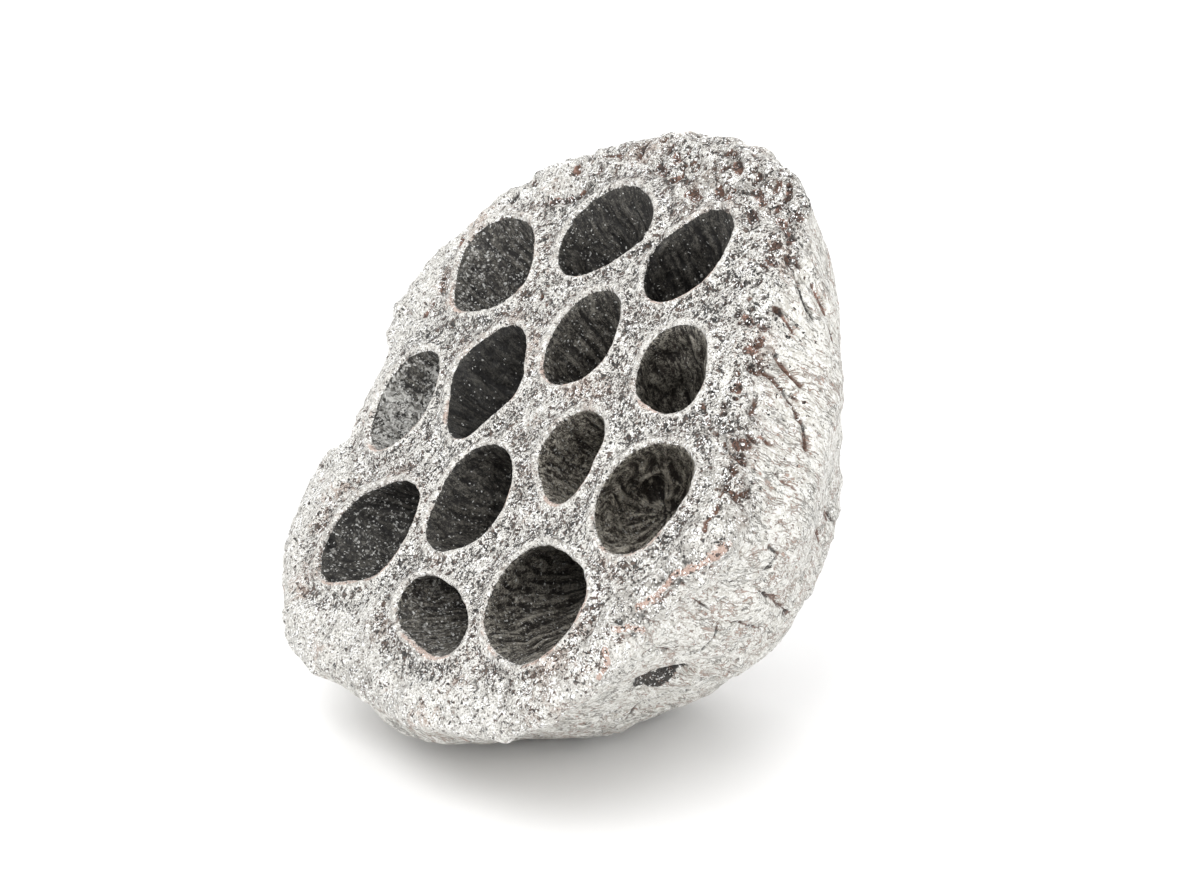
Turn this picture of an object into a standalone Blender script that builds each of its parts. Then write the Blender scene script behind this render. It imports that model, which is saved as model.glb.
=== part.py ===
"""A dried lotus pod, lying on its side wall with the seed face looking forwards and up.

The pod is drawn upright first, with its axis along Z and the middle of the seed face at the
origin, and is then rolled and tipped into the way it lies. The row frame has the resting
surface at Z = 0 and the seed face looking towards -Y.
"""

import math
from collections import namedtuple

import bmesh
import bpy
from mathutils import Matrix, Vector

MM = 0.001

# Outline of the seed face's edge and of the swollen wall below it, in millimetres from the
# pod's axis, at equal turns counted from +X.
RIM_RADII = (
    34.4, 30.1, 27.6, 27.9, 31.4, 35.4, 34.8, 34.1, 33.5, 33.8, 34.7, 35.2,
    33.7, 29.4, 29.9, 35.1, 36.5, 36.5, 34.0, 34.2, 35.8, 37.6, 36.2, 32.7,
)
BELLY_RADII = (31.1, 29.8, 30.2, 33.2, 34.6, 35.4, 36.0, 36.4, 36.0, 34.0, 29.8, 28.1)

# Rings of the side wall from the face's edge down to the stem scar. share scales the outline,
# depth is measured down from the face, belly blends from the rim outline to the swollen one,
# lean is how far the ring has moved towards the off-centre stem scar, and sag is how many
# millimetres the wall has slumped out on the side that it lies on.
Ring = namedtuple("Ring", "share depth belly lean sag")
SIDE_RINGS = (
    Ring(0.93, 1.0, 0.0, 0.0, 0.0),
    Ring(0.975, 1.8, 0.0, 0.0, 0.0),
    Ring(1.00, 3.7, 0.1, 0.0, 0.0),
    Ring(1.00, 7.4, 0.5, 0.0, 0.0),
    Ring(1.00, 12.5, 1.0, 0.15, 0.0),
    Ring(0.87, 18.8, 1.0, 0.35, 0.0),
    Ring(0.74, 25.0, 1.0, 0.55, 0.3),
    Ring(0.55, 30.8, 1.0, 0.75, 1.3),
    Ring(0.34, 35.2, 1.0, 0.90, 3.2),
    Ring(0.17, 38.0, 1.0, 1.00, 2.0),
)
SAG_TURN_DEG = 264.0
SAG_NARROWNESS = 4
STEM_SCAR_AT = (0.0, -4.5)
STEM_SCAR_DISH = 0.6
SIDE_STEPS_PER_RING = 2
TURN_STEPS = 72
FACE_RING_SHARES = (0.82, 0.66, 0.48, 0.28)

# Seed cells. x and y place the mouth on the face and radius is its mean size, in millimetres.
# Each pair after them is how far the mouth swells and towards which turn in degrees: oval has
# two lobes, egg has three and square has four. depth is straight down from the face.
Cell = namedtuple("Cell", "x y radius oval oval_turn egg egg_turn square square_turn depth")
CELLS = (
    Cell(-21.9, 9.8, 6.4, 0.7, -19, 0.2, 25, 0.3, -8, 13.0),
    Cell(-9.2, 19.6, 5.9, 0.5, 51, 0.25, 21, 0.1, 15, 14.0),
    Cell(5.1, 22.0, 5.3, 0.75, 76, 0.1, -44, 0.15, -1, 13.0),
    Cell(-0.4, 8.7, 5.1, 0.5, -69, 0.1, -12, 0.1, -8, 13.0),
    Cell(-20.2, -7.8, 5.5, 0.6, -67, 0.1, 56, 0.1, 5, 11.0),
    Cell(14.3, 11.5, 4.9, 0.5, -28, 0.15, -15, 0.15, -19, 12.0),
    Cell(-9.4, -0.7, 5.9, 0.5, -66, 0.15, 50, 0.4, 11, 14.0),
    Cell(9.8, -1.5, 4.6, 0.5, -55, 0.35, -47, 0.1, 36, 12.0),
    Cell(22.6, -0.5, 6.0, 0.3, 84, 0.3, 58, 0.1, 44, 11.0),
    Cell(0.8, -11.4, 5.75, 0.4, -77, 0.3, 12, 0.15, -14, 14.0),
    Cell(-10.2, -21.2, 6.5, 0.9, 54, 0.2, -27, 0.3, -25, 13.0),
    Cell(7.1, -23.1, 4.8, 1.5, -2, 0.15, -30, 0.2, -4, 11.0),
    Cell(19.3, -15.5, 6.6, 0.35, -6, 0.1, 40, 0.15, 43, 13.0),
)
CELL_TURN_STEPS = 24
# The cells run towards one point on the pod's axis, this far below the face.
CELL_MEETING_DEPTH = 30.0
# How wide a cell is at shares of its depth, as shares of its mouth.
CELL_SECTION = ((0.0, 1.03), (0.07, 0.99), (0.30, 1.0), (0.55, 0.95), (0.75, 0.80), (0.90, 0.54), (0.97, 0.30))
CELL_CUT_ABOVE = 2.5

# How the pod lies: turned about its own axis, then tipped so that its axis rises this far.
ROLL_DEG = -6.0
AXIS_RISE_DEG = 41.0
# The wall has pressed flat where it rests.
REST_FLAT_DEPTH = 0.8

PAINT = (0.80, 0.79, 0.77, 1.0)
PAINT_ROUGHNESS = 0.55


def clear_scene():
    for obj in list(bpy.data.objects):
        bpy.data.objects.remove(obj, do_unlink=True)


def catmull_rom(before, start, end, after, f):
    """The smooth curve from start to end, at share f of the way."""
    square = 2 * before - 5 * start + 4 * end - after
    cube = 3 * (start - end) + after - before
    return start + 0.5 * f * (end - before + f * (square + f * cube))


def closed_curve(values, turn):
    """A smooth closed outline through equally spaced values, at a turn in radians."""
    place = (turn / math.tau % 1.0) * len(values)
    i = int(place)
    near = [values[(i + k) % len(values)] for k in (-1, 0, 1, 2)]
    return catmull_rom(*near, place - i)


def open_curve(values, place):
    """A smooth curve through values, at a place counted in values."""
    last = len(values) - 1
    i = min(int(place), last - 1)
    near = [values[min(max(i + k, 0), last)] for k in (-1, 0, 1, 2)]
    return catmull_rom(*near, place - i)


def side_point(place, turn):
    """A point of the side wall, place counted in SIDE_RINGS down from the face's edge."""
    share, depth, belly, lean, sag = (
        open_curve([ring[k] for ring in SIDE_RINGS], place) for k in range(5)
    )
    rim = closed_curve(RIM_RADII, turn)
    swollen = closed_curve(BELLY_RADII, turn)
    slumped = max(0.0, math.cos(turn - math.radians(SAG_TURN_DEG))) ** SAG_NARROWNESS
    radius = share * (rim + belly * (swollen - rim)) + sag * slumped
    return Vector((
        radius * math.cos(turn) + lean * STEM_SCAR_AT[0],
        radius * math.sin(turn) + lean * STEM_SCAR_AT[1],
        -depth,
    ))


def face_point(share, turn):
    """A point of the gently domed seed face, share counted from its middle to the rim."""
    edge = SIDE_RINGS[0]
    radius = share * closed_curve(RIM_RADII, turn)
    return Vector((
        radius * math.cos(turn),
        radius * math.sin(turn),
        -edge.depth * (share / edge.share) ** 2,
    ))


def ring_of(bm, points):
    return [bm.verts.new(point * MM) for point in points]


def bridge(bm, upper, lower):
    """Quads between two rings that run anticlockwise seen from above."""
    count = len(upper)
    for i in range(count):
        j = (i + 1) % count
        bm.faces.new((upper[i], lower[i], lower[j], upper[j]))


def cap(bm, ring, middle, facing_up):
    centre = bm.verts.new(middle * MM)
    for i, start in enumerate(ring):
        end = ring[(i + 1) % len(ring)]
        bm.faces.new((start, end, centre) if facing_up else (end, start, centre))


def pod_body():
    """The receptacle without its cells."""
    bm = bmesh.new()
    turns = [math.tau * i / TURN_STEPS for i in range(TURN_STEPS)]
    rings = [
        ring_of(bm, [face_point(share, turn) for turn in turns])
        for share in reversed(FACE_RING_SHARES)
    ]
    steps = (len(SIDE_RINGS) - 1) * SIDE_STEPS_PER_RING
    rings += [
        ring_of(bm, [side_point(step / SIDE_STEPS_PER_RING, turn) for turn in turns])
        for step in range(steps + 1)
    ]
    for upper, lower in zip(rings, rings[1:]):
        bridge(bm, upper, lower)
    cap(bm, rings[0], Vector((0.0, 0.0, 0.0)), True)
    scar = Vector((*STEM_SCAR_AT, STEM_SCAR_DISH - SIDE_RINGS[-1].depth))
    cap(bm, rings[-1], scar, False)
    return bm


def mouth_radius(cell, turn):
    """The mouth's radius towards a turn in radians."""
    oval = cell.oval * math.cos(2 * (turn - math.radians(cell.oval_turn)))
    egg = cell.egg * math.cos(3 * (turn - math.radians(cell.egg_turn)))
    square = cell.square * math.cos(4 * (turn - math.radians(cell.square_turn)))
    return cell.radius + oval + egg + square


def cell_ring(cell, depth, width):
    """Points of one ring of a cell, width being a share of its mouth."""
    closing = 1.0 - depth / CELL_MEETING_DEPTH
    points = []
    for i in range(CELL_TURN_STEPS):
        turn = math.tau * i / CELL_TURN_STEPS
        radius = width * mouth_radius(cell, turn)
        x = cell.x + radius * math.cos(turn)
        y = cell.y + radius * math.sin(turn)
        points.append(Vector((x * closing, y * closing, -depth)))
    return points


def cell_cutters():
    """The hollows of all the cells, as closed shapes that stand a little out of the face."""
    bm = bmesh.new()
    for cell in CELLS:
        rings = [ring_of(bm, cell_ring(cell, -CELL_CUT_ABOVE, CELL_SECTION[0][1]))]
        rings += [
            ring_of(bm, cell_ring(cell, share * cell.depth, width))
            for share, width in CELL_SECTION
        ]
        for upper, lower in zip(rings, rings[1:]):
            bridge(bm, upper, lower)
        lift = 1.0 + CELL_CUT_ABOVE / CELL_MEETING_DEPTH
        cap(bm, rings[0], Vector((cell.x * lift, cell.y * lift, CELL_CUT_ABOVE)), True)
        closing = 1.0 - cell.depth / CELL_MEETING_DEPTH
        floor = Vector((cell.x * closing, cell.y * closing, -cell.depth))
        cap(bm, rings[-1], floor, False)
    return bm


def object_of(name, bm):
    mesh = bpy.data.meshes.new(name)
    bm.to_mesh(mesh)
    bm.free()
    obj = bpy.data.objects.new(name, mesh)
    bpy.context.scene.collection.objects.link(obj)
    return obj


def cut(body, cutter):
    """Bakes the cut into body's mesh and removes the cutter."""
    modifier = body.modifiers.new("cells", "BOOLEAN")
    modifier.operation = "DIFFERENCE"
    modifier.solver = "EXACT"
    modifier.object = cutter
    graph = bpy.context.evaluated_depsgraph_get()
    mesh = bpy.data.meshes.new_from_object(body.evaluated_get(graph))
    body.modifiers.clear()
    body.data = mesh
    bpy.data.objects.remove(cutter, do_unlink=True)


def lay_down(body):
    """Tips the pod over, flattens where it rests and centres it on the resting surface."""
    bm = bmesh.new()
    bm.from_mesh(body.data)
    roll = Matrix.Rotation(math.radians(ROLL_DEG), 4, "Z")
    tip = Matrix.Rotation(math.radians(90.0 - AXIS_RISE_DEG), 4, "X")
    bmesh.ops.transform(bm, matrix=tip @ roll, verts=bm.verts)
    floor = min(vert.co.z for vert in bm.verts) + REST_FLAT_DEPTH * MM
    bmesh.ops.bisect_plane(
        bm,
        geom=bm.verts[:] + bm.edges[:] + bm.faces[:],
        plane_co=(0.0, 0.0, floor),
        plane_no=(0.0, 0.0, -1.0),
        clear_outer=True,
    )
    bmesh.ops.holes_fill(bm, edges=[edge for edge in bm.edges if edge.is_boundary])
    bmesh.ops.recalc_face_normals(bm, faces=bm.faces)
    middle = [
        (min(vert.co[k] for vert in bm.verts) + max(vert.co[k] for vert in bm.verts)) / 2
        for k in (0, 1)
    ]
    bmesh.ops.translate(bm, vec=(-middle[0], -middle[1], -floor), verts=bm.verts)
    bm.to_mesh(body.data)
    bm.free()


def paint(obj):
    material = bpy.data.materials.new("silver_paint")
    material.use_nodes = True
    shader = material.node_tree.nodes["Principled BSDF"]
    shader.inputs["Base Color"].default_value = PAINT
    shader.inputs["Roughness"].default_value = PAINT_ROUGHNESS
    material.diffuse_color = PAINT
    obj.data.materials.clear()
    obj.data.materials.append(material)


def main():
    clear_scene()
    pod = object_of("lotus_pod", pod_body())
    cut(pod, object_of("cell_cutters", cell_cutters()))
    lay_down(pod)
    paint(pod)


main()
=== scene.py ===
"""The looks of a dried lotus pod with a silvery white glitter coat, lying on its side."""

import itertools
import math
from collections import namedtuple

import bmesh
import bpy
import numpy as np
from bpy.props import FloatProperty, FloatVectorProperty, IntProperty, PointerProperty
from mathutils import Matrix, Vector


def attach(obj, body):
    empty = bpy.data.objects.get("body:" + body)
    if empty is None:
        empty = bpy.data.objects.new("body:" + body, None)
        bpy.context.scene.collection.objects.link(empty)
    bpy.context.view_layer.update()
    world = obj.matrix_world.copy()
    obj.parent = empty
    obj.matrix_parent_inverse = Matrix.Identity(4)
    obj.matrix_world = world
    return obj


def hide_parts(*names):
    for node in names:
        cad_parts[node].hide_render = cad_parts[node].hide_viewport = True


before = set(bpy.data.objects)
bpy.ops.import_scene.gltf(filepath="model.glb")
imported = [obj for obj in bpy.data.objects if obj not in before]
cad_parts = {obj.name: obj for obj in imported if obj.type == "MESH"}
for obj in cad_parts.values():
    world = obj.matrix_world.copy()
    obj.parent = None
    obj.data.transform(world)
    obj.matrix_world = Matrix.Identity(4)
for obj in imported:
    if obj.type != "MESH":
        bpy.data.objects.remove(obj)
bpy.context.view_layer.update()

bl_info = {
    "name": "Dried Lotus Pod",
    "version": (1, 0, 0),
    "blender": (4, 5, 0),
    "location": "View3D > Sidebar > Lotus Pod",
    "description": "Builds the wrinkled, glitter-coated skin of a dried lotus pod and its studio",
    "category": "Object",
}

MM = 0.001
NODE = "lotus_pod"

# How the pod lies, and where the middle of its seed face is in the row frame. The shape below
# is worked in the pod's own frame: Z out of the seed face, millimetres from its middle.
ROLL_DEG = -6.0
AXIS_RISE_DEG = 41.0
FACE_MIDDLE_MM = (1.14, -6.50, 36.95)
TURNED = np.array(
    Matrix.Rotation(math.radians(90.0 - AXIS_RISE_DEG), 3, "X")
    @ Matrix.Rotation(math.radians(ROLL_DEG), 3, "Z")
)

# Outline of the seed face, in millimetres from its middle, at equal turns counted from +X.
RIM_RADII = (
    34.4, 30.1, 27.6, 27.9, 31.4, 35.4, 34.8, 34.1, 33.5, 33.8, 34.7, 35.2,
    33.7, 29.4, 29.9, 35.1, 36.5, 36.5, 34.0, 34.2, 35.8, 37.6, 36.2, 32.7,
)
# Each seed cell's place and mouth radius, how far its mouth swells in two, three and four lobes,
# each with its turn in degrees, its depth, how bright its bare tissue is painted, partly for the coat
# that reached it and partly as painted light and shade, and how much dust lies in it.
SeedCell = namedtuple(
    "SeedCell", "x y radius oval oval_turn egg egg_turn square square_turn depth tone dust")
CELLS = (
    SeedCell(-21.9, 9.8, 6.4, 0.7, -19, 0.2, 25, 0.3, -8, 13.0, 0.85, 0.18),
    SeedCell(-9.2, 19.6, 5.9, 0.5, 51, 0.25, 21, 0.1, 15, 14.0, 0.62, 0.05),
    SeedCell(5.1, 22.0, 5.3, 0.75, 76, 0.1, -44, 0.15, -1, 13.0, 0.58, 0.02),
    SeedCell(-0.4, 8.7, 5.1, 0.5, -69, 0.1, -12, 0.1, -8, 13.0, 1.15, 0.06),
    SeedCell(-20.2, -7.8, 5.5, 0.6, -67, 0.1, 56, 0.1, 5, 11.0, 0.84, 0.34),
    SeedCell(14.3, 11.5, 4.9, 0.5, -28, 0.15, -15, 0.15, -19, 12.0, 2.2, 0.0),
    SeedCell(-9.4, -0.7, 5.9, 0.5, -66, 0.15, 50, 0.4, 11, 14.0, 0.38, 0.0),
    SeedCell(9.8, -1.5, 4.6, 0.5, -55, 0.35, -47, 0.1, 36, 12.0, 3.2, 0.08),
    SeedCell(22.6, -0.5, 6.0, 0.3, 84, 0.3, 58, 0.1, 44, 11.0, 3.6, 0.06),
    SeedCell(0.8, -11.4, 5.75, 0.4, -77, 0.3, 12, 0.15, -14, 14.0, 0.78, 0.02),
    SeedCell(-10.2, -21.2, 6.5, 0.9, 54, 0.2, -27, 0.3, -25, 13.0, 0.5, 0.12),
    SeedCell(7.1, -23.1, 4.8, 1.5, -2, 0.15, -30, 0.2, -4, 11.0, 1.38, 0.14),
    SeedCell(19.3, -15.5, 6.6, 0.35, -6, 0.1, 40, 0.15, 43, 13.0, 1.95, 0.06),
)
# How far below the face the walls of all the cells would meet.
CELL_MEETING_DEPTH = 30.0


def to_pod(points):
    """Row frame in metres to the pod's own frame in millimetres."""
    return (points / MM - np.array(FACE_MIDDLE_MM)) @ TURNED


def to_row(points):
    """The pod's own frame in millimetres to the row frame in metres."""
    return (points @ TURNED.T + np.array(FACE_MIDDLE_MM)) * MM


def smoothstep(low, high, value):
    """0 up to low, 1 from high on, and a smooth step between. High may be the smaller."""
    t = np.clip((value - low) / (high - low), 0.0, 1.0)
    return t * t * (3.0 - 2.0 * t)


def hump(middle, width, value):
    """A smooth bump of height 1 around middle."""
    return np.exp(-(((value - middle) / width) ** 2))


def closed_curve(values, turn):
    """A smooth closed outline through equally spaced values, at turns in radians."""
    values = np.array(values)
    count = len(values)
    place = (turn / math.tau % 1.0) * count
    i = np.floor(place).astype(int)
    f = place - i
    before, start, end, after = (values[(i + k) % count] for k in (-1, 0, 1, 2))
    square = 2 * before - 5 * start + 4 * end - after
    cube = 3 * (start - end) + after - before
    return start + 0.5 * f * (end - before + f * (square + f * cube))


def scatter(cell, seed):
    """A repeatable random value from 0 to 1 for each whole-numbered place."""
    x, y, z = (cell[..., k].astype(np.uint32) for k in range(3))
    h = x * np.uint32(0x9E3779B1) ^ y * np.uint32(0x85EBCA77) ^ z * np.uint32(0xC2B2AE3D)
    h ^= np.uint32(seed * 2654435 + 12345)
    for shift, mix in ((15, 0x2C1B3C6D), (12, 0x297A2D39), (15, 0x165667B1)):
        h = (h ^ (h >> np.uint32(shift))) * np.uint32(mix)
    return (h >> np.uint32(8)).astype(np.float64) / float(1 << 24)


def lumps(points, size, seed):
    """Smooth random relief from -1 to 1, with lumps of the given size in millimetres."""
    place = points / size + 100.0
    cell = np.floor(place).astype(np.int64)
    f = place - cell
    f = f * f * (3.0 - 2.0 * f)
    total = np.zeros(len(points))
    for corner in itertools.product((0, 1), repeat=3):
        weight = np.prod(np.where(corner, f, 1.0 - f), axis=1)
        total += weight * scatter(cell + np.array(corner), seed)
    return 2.0 * total - 1.0


def rough(points, size, seed, octaves=3):
    """Lumps with finer lumps on them."""
    total, height, reach = 0.0, 1.0, 0.0
    for k in range(octaves):
        total = total + height * lumps(points, size / 2**k, seed + 31 * k)
        reach += height
        height *= 0.5
    return total / reach


def nearest_point(points, size, seed):
    """Distance to the nearest of a scatter of points about size apart, and its random value."""
    place = points / size + 100.0
    cell = np.floor(place).astype(np.int64)
    best = np.full(len(points), 9.0)
    value = np.zeros(len(points))
    for step in itertools.product((-1, 0, 1), repeat=3):
        home = cell + np.array(step)
        at = home + np.stack([scatter(home, seed + k) for k in (1, 2, 3)], axis=1)
        distance = np.linalg.norm(place - at, axis=1)
        closer = distance < best
        best = np.where(closer, distance, best)
        value = np.where(closer, scatter(home, seed + 4), value)
    return best * size, value


class Skin:
    """A quad mesh as arrays in the pod's own frame, which relief is pushed into."""

    def __init__(self, mesh):
        self.mesh = mesh
        count = len(mesh.vertices)
        co = np.empty(count * 3)
        mesh.vertices.foreach_get("co", co)
        self.at = to_pod(co.reshape(-1, 3))
        edges = np.empty(len(mesh.edges) * 2, np.int64)
        mesh.edges.foreach_get("vertices", edges)
        self.edges = edges.reshape(-1, 2)
        self.degree = np.bincount(edges, minlength=count)
        corners = np.empty(len(mesh.loops), np.int64)
        mesh.loops.foreach_get("vertex_index", corners)
        self.quads = corners.reshape(-1, 4)

    def around(self, values):
        """The mean of each point's neighbours."""
        a, b = self.edges.T
        total = np.stack([
            np.bincount(a, column[b], len(self.degree)) + np.bincount(b, column[a], len(self.degree))
            for column in values.T
        ], axis=1)
        return total / self.degree[:, None]

    def smooth(self, times, share=0.5, where=None):
        for _ in range(times):
            move = share * (self.around(self.at) - self.at)
            self.at = self.at + (move if where is None else move * where[:, None])

    def blurred(self, values, times):
        values = values[:, None]
        for _ in range(times):
            values = 0.5 * values + 0.5 * self.around(values)
        return values[:, 0]

    def outward(self):
        a, b, c, d = (self.at[self.quads[:, k]] for k in range(4))
        normal = np.cross(c - a, d - b)
        total = np.stack([
            sum(np.bincount(self.quads[:, k], normal[:, axis], len(self.at)) for k in range(4))
            for axis in range(3)
        ], axis=1)
        return total / np.maximum(np.linalg.norm(total, axis=1), 1e-12)[:, None]

    def push(self, height):
        self.at = self.at + self.outward() * height[:, None]

    def store(self):
        row = to_row(self.at)
        row[:, 2] = np.maximum(row[:, 2], 0.0)
        self.mesh.vertices.foreach_set("co", row.astype(np.float32).ravel())
        self.mesh.update()

    def note(self, name, values):
        kind = "FLOAT" if values.ndim == 1 else "FLOAT_VECTOR"
        attribute = self.mesh.attributes.new(name, kind, "POINT")
        key = "value" if values.ndim == 1 else "vector"
        attribute.data.foreach_set(key, values.astype(np.float32).ravel())


def cell_places(points):
    """For each point, the nearest cell, how far outside its mouth it is and its turn."""
    depth = -points[:, 2]
    closing = 1.0 - np.clip(depth, 0.0, 20.0) / CELL_MEETING_DEPTH
    best = np.full(len(points), 99.0)
    which = np.zeros(len(points), int)
    turn = np.zeros(len(points))
    for i, cell in enumerate(CELLS):
        dx = points[:, 0] / closing - cell.x
        dy = points[:, 1] / closing - cell.y
        a = np.arctan2(dy, dx)
        mouth = cell.radius + cell.oval * np.cos(2 * (a - math.radians(cell.oval_turn)))
        mouth += cell.egg * np.cos(3 * (a - math.radians(cell.egg_turn)))
        mouth += cell.square * np.cos(4 * (a - math.radians(cell.square_turn)))
        out = np.hypot(dx, dy) - mouth
        closer = out < best
        best = np.where(closer, out, best)
        which = np.where(closer, i, which)
        turn = np.where(closer, a, turn)
    return which, best, turn


def new_object(name, mesh):
    obj = bpy.data.objects.new(name, mesh)
    bpy.context.scene.collection.objects.link(obj)
    return obj


def apply_modifiers(obj):
    graph = bpy.context.evaluated_depsgraph_get()
    mesh = bpy.data.meshes.new_from_object(obj.evaluated_get(graph))
    obj.modifiers.clear()
    obj.data = mesh


def even_skin(voxel):
    """The solid's own surface, remade as small even quads."""
    bm = bmesh.new()
    bm.from_mesh(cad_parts[NODE].data)
    bmesh.ops.remove_doubles(bm, verts=bm.verts, dist=1e-7)
    mesh = bpy.data.meshes.new("pod_skin")
    bm.to_mesh(mesh)
    bm.free()
    obj = new_object("pod_skin", mesh)
    modifier = obj.modifiers.new("even", "REMESH")
    modifier.mode = "VOXEL"
    modifier.voxel_size = voxel
    apply_modifiers(obj)
    return obj


def slim(obj, triangles):
    """Collapses the flattest places until this many triangles are left."""
    count = sum(len(p.vertices) - 2 for p in obj.data.polygons)
    modifier = obj.modifiers.new("slim", "DECIMATE")
    modifier.ratio = triangles / count
    apply_modifiers(obj)


# Marks on the skin, as the points that each runs through, in the pod's own frame.
PINK_RIDGES = (
    ((34, 0.5, -2.5), (33.5, -2, -2), (32, -4.5, -1.5), (31, -7.5, -2), (30.5, -9, -1.5)),
    ((30, -12, -1.5), (31, -11, -2), (31, -10.5, -3)),
    ((31, -16.5, -2.5), (31, -15, -2), (30.5, -14, -1.5)),
)
RIM_CRACKS = (
    ((30, 5, -1.5), (30.5, 5, -2), (31, 5.5, -3), (30.5, 6, -4), (30, 6.5, -4)),
    ((30, 5, -1.5), (30.5, 4, -1)),
    ((31, 3, -1.5), (31.5, 2, -1), (31.5, 1, -1), (32, 0.5, -1)),
    ((28, 8, -2), (28, 8.5, -2.5), (28, 9, -3)),
    ((28.5, 7, -1.5), (29, 7, -2), (29.5, 6.5, -2), (29.5, 5.5, -1.5)),
)
FOLD_CRACKS = (
    ((24, 8.5, -1), (25, 8, -1), (27, 8, -1)),
    ((21.5, 17, -3), (22.5, 16.5, -4.5), (24.5, 15, -8), (25.5, 14, -9), (26.5, 13, -10)),
    ((21, 17.5, -2), (22, 17, -3.5), (23, 16.5, -5.5), (23.5, 16, -7.5)),
    ((21, 18.5, -4.5), (21.5, 18, -6), (22.5, 17.5, -7.5)),
    ((16, 26.5, -2.5), (16.5, 25.5, -4.5), (17.5, 24.5, -6), (18, 23.5, -7.5)),
)
WALL_CRACKS = (
    ((28.5, 9, -7), (29, 9, -8.5), (29, 9, -9.5)),
    ((23.5, 9.5, -19), (21.5, 9, -22.5)),
    ((31, -1, -12.5), (28, -1, -17), (25, -1, -22.5)),
    ((16.5, 25.5, -5), (16.5, 25, -6.5), (17, 24.5, -8)),
    ((13, 28.5, -9), (13, 28, -11)),
    ((29.5, -12.5, -6.5), (29, -11.5, -8), (28, -11, -10)),
    ((30, -5.5, -12), (28.5, -4.5, -16), (26.5, -4, -19)),
    ((32, -5.5, -4.5), (31.5, -5.5, -6.5), (31, -5.5, -8)),
)
MARGIN_PITS = (
    ((-20.5, 18.5, -1), (-20, 19, -1)), ((-19, 19.5, -1), (-18, 20, -1)),
    ((-17.5, 20.5, -1), (-17, 21, -1)), ((-20.5, 23, -1), (-20, 22.5, -1)),
    ((-8, 29.5, -1), (-7, 29, -1)), ((-9, 27.5, -1), (-7.5, 27.5, -1)),
    ((-6, 27, -1), (-5, 28, -1)), ((-2.5, 27, -0.5), (-1.5, 27, -0.5), (-0.5, 27, -0.5)),
    ((1, 29, -1), (2, 28.5, -1)), ((3.5, 28.5, -1), (3.5, 29.5, -1)),
    ((0.5, 32, -1), (2, 31.5, -1)), ((5, 31.5, -1), (5, 32, -1)), ((6, 30.5, -1), (8, 30, -1)),
    ((8, 28.5, -1), (9, 28, -1)), ((8.5, 31.5, -1), (8, 32.5, -1)), ((10, 30, -1), (10, 30.5, -1)),
    ((10, 32, -1.5), (9, 33, -2)), ((11.5, 29, -1), (12.5, 29, -1)),
    ((12.5, 30, -1.5), (12.5, 30.5, -2.5)), ((14.5, 28, -2), (14.5, 28.5, -2.5)),
    ((13.5, 26.5, -1), (14, 27, -1)), ((14.5, 24.5, -1), (14.5, 25.5, -1)),
    ((17, 19.5, -1), (18.5, 19.5, -1)), ((20, 17, -1.5), (20.5, 18, -2), (20, 19, -2.5)),
    ((22, 14, -1), (22.5, 13.5, -1.5)), ((28, 8.5, -2.5), (28, 9, -3)),
    ((-28.5, 5.5, -1), (-27.5, 4, -1)), ((-27, 2, -0.5), (-27.5, 1, -1)),
    ((-30.5, 10, -1), (-30, 9.5, -1)), ((-15, -24, -1), (-14, -23.5, -1)),
    ((-11.5, -26, -1), (-11, -25, -1)),
)
DARK_PITS = (
    ((18.5, 20, -1.5), (18.5, 20.5, -2)), ((21.5, 16.5, -2), (22, 16.5, -3)),
    ((25, 12.5, -3), (24, 13.5, -3.5)), ((25, 9.5, -1), (25.5, 10, -1.5)),
    ((-2, 20, -0.5), (-1, 20.5, -0.5), (0, 21.5, -0.5)), ((-1, 18.5, -0.5), (-1, 19, -0.5)),
    ((-17.5, 25.5, -1), (-16, 26.5, -1)), ((-20, 24.5, -1), (-20.5, 25, -1.5)),
    ((1.5, 34, -1.5), (3, 33.5, -1.5)), ((20.5, 10, -1), (21.5, 9.5, -1), (22.5, 9, -1)),
    ((-27, 16.5, -1), (-26.5, 17, -1)), ((-31, 11, -1.5), (-30.5, 11.5, -1.5)),
)
WALL_STREAKS = (
    ((16, 26, -6.5), (16.5, 25.5, -8), (17, 25, -9.5)), ((17.5, 24, -10.5), (18, 23.5, -11.5)),
    ((21.5, 18.5, -5.5), (22, 18, -6.5), (22.5, 17.5, -7.5)),
    ((18.5, 22, -3.5), (19.5, 21.5, -5.5)), ((26.5, 10.5, -3), (27, 10.5, -4)),
    ((26.5, 11, -4), (27, 11, -5.5)), ((24, 9, -18.5), (22.5, 8.5, -20.5)),
    ((25.5, 7.5, -18), (23.5, 6.5, -21)), ((30.5, -1, -13.5), (28, -0.5, -17.5)),
    ((25, -1.5, -22), (24, -1, -23)),
)
DARK_TICKS = (
    ((31.5, 1, -11), (31.5, 2, -11.5), (31, 3, -11.5), (31.5, 3, -9.5)),
    ((27, -9, -14.5), (28.5, -7.5, -13.5), (30, -6, -11.5)),
    ((18.5, -17, -20.5), (16.5, -18.5, -21.5), (14, -20.5, -23)),
)
# The outline of the torn patch, then a stroke across it.
TORN_PATCH = (
    ((21, -16, -17), (23, -15, -14.5), (24, -13.5, -14.5), (23.5, -12.5, -16), (22.5, -12.5, -18)),
    ((22.5, -12.5, -18), (21.5, -14, -18), (20.5, -15, -18)), ((21.5, -15, -16.5), (22.5, -13.5, -16.5)),
)
SEED_SCAR_RING = (
    ((14, 1, -5.5), (14.5, 2, -5.5), (15, 3, -6.5), (15, 2.5, -8.5), (14, 1.5, -10)),
    ((14, 1.5, -10), (13.5, 0, -10.5), (13, -1, -9.5), (13, -1, -8.5)),
)
SEED_SCAR_PIT = (((13.5, 1, -7.5), (13.5, 1.5, -8), (13, 0.5, -9), (13, 0, -9), (13.5, 0.5, -7.5)),)
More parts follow.
